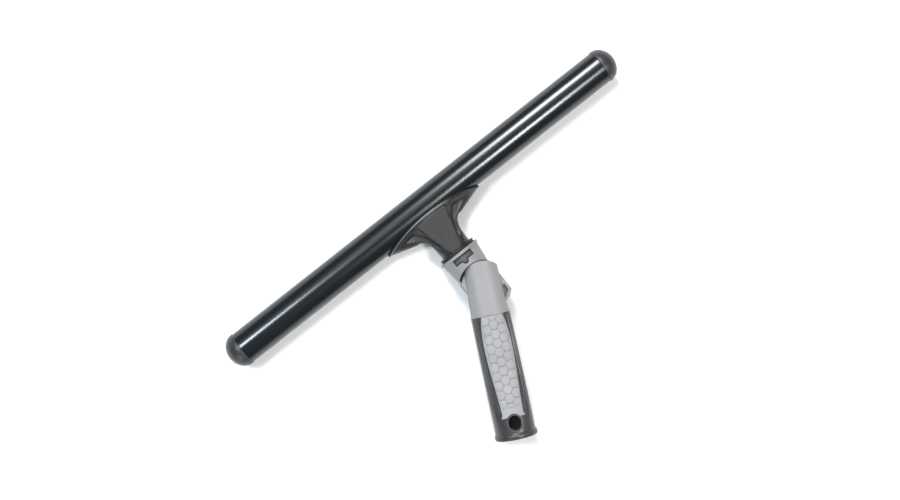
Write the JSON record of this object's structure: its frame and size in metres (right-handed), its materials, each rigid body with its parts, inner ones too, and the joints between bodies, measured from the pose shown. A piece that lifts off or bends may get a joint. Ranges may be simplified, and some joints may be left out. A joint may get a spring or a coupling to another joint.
{
  "type": "window washer T-bar",
  "caption": "Round washer bar with domed end caps on a snap-in neck and a swivelling grip handle with soft pads and a pole socket.",
  "frame": {"origin": "centre of the pole socket's mouth, on the handle's axis, in the plane of its open end", "axes": "+Y along the handle from the open end to the swivel, +Z out of the handle's front face, which carries the long soft pad, +X to the right seen from the front"},
  "size_m": [0.3222, 0.2645, 0.0324],
  "materials": {
    "anodised_tube": "gloss black anodised",
    "cap_plastic": "fine matt",
    "saddle_plastic": "satin black",
    "black_rubber": "matt",
    "collar_plastic": "fine matt mid grey",
    "latch_plastic": "satin dark grey",
    "head_plastic": "smooth light grey",
    "grip_plastic": "satin black",
    "pad_rubber": "soft touch with hexagon relief",
    "steel": "zinc plated",
    "bronze": "sintered",
    "washer_plastic": "natural acetal"
  },
  "bodies": {
    "handle": {"handle_core": "grip_plastic", "swivel_head": "head_plastic", "grip_pad_front": "pad_rubber", "grip_pad_back": "pad_rubber", "pivot_pin": "steel", "pin_cap": "head_plastic", "thrust_washer_front": "washer_plastic", "thrust_washer_back": "washer_plastic", "disc_spring": "steel", "stem_screws": "steel"},
    "bar_head": {"swivel_collar": "collar_plastic", "pivot_bush": "bronze", "saddle_neck": "saddle_plastic", "neck_ring": "black_rubber", "nut_plate": "steel", "saddle_screws": "steel", "bar_tube": "anodised_tube", "end_cap_left": "cap_plastic", "end_cap_right": "cap_plastic", "latch_spring": "steel"},
    "latch": {"neck_latch": "latch_plastic"}
  },
  "joints": [
    {"name": "swivel", "type": "hinge", "parent": "handle", "child": "bar_head", "pos_m": [0, 0.1139, 0], "axis": [0, 0, 1], "range_deg": [-111, 59]},
    {"name": "latch_press", "type": "slide", "parent": "bar_head", "child": "latch", "axis": [0, 0, -1], "range_m": [0, 0.0034], "stiffness_N_per_m": 500, "springref_m": -0.002, "deforming": ["latch_spring"]}
  ]
}
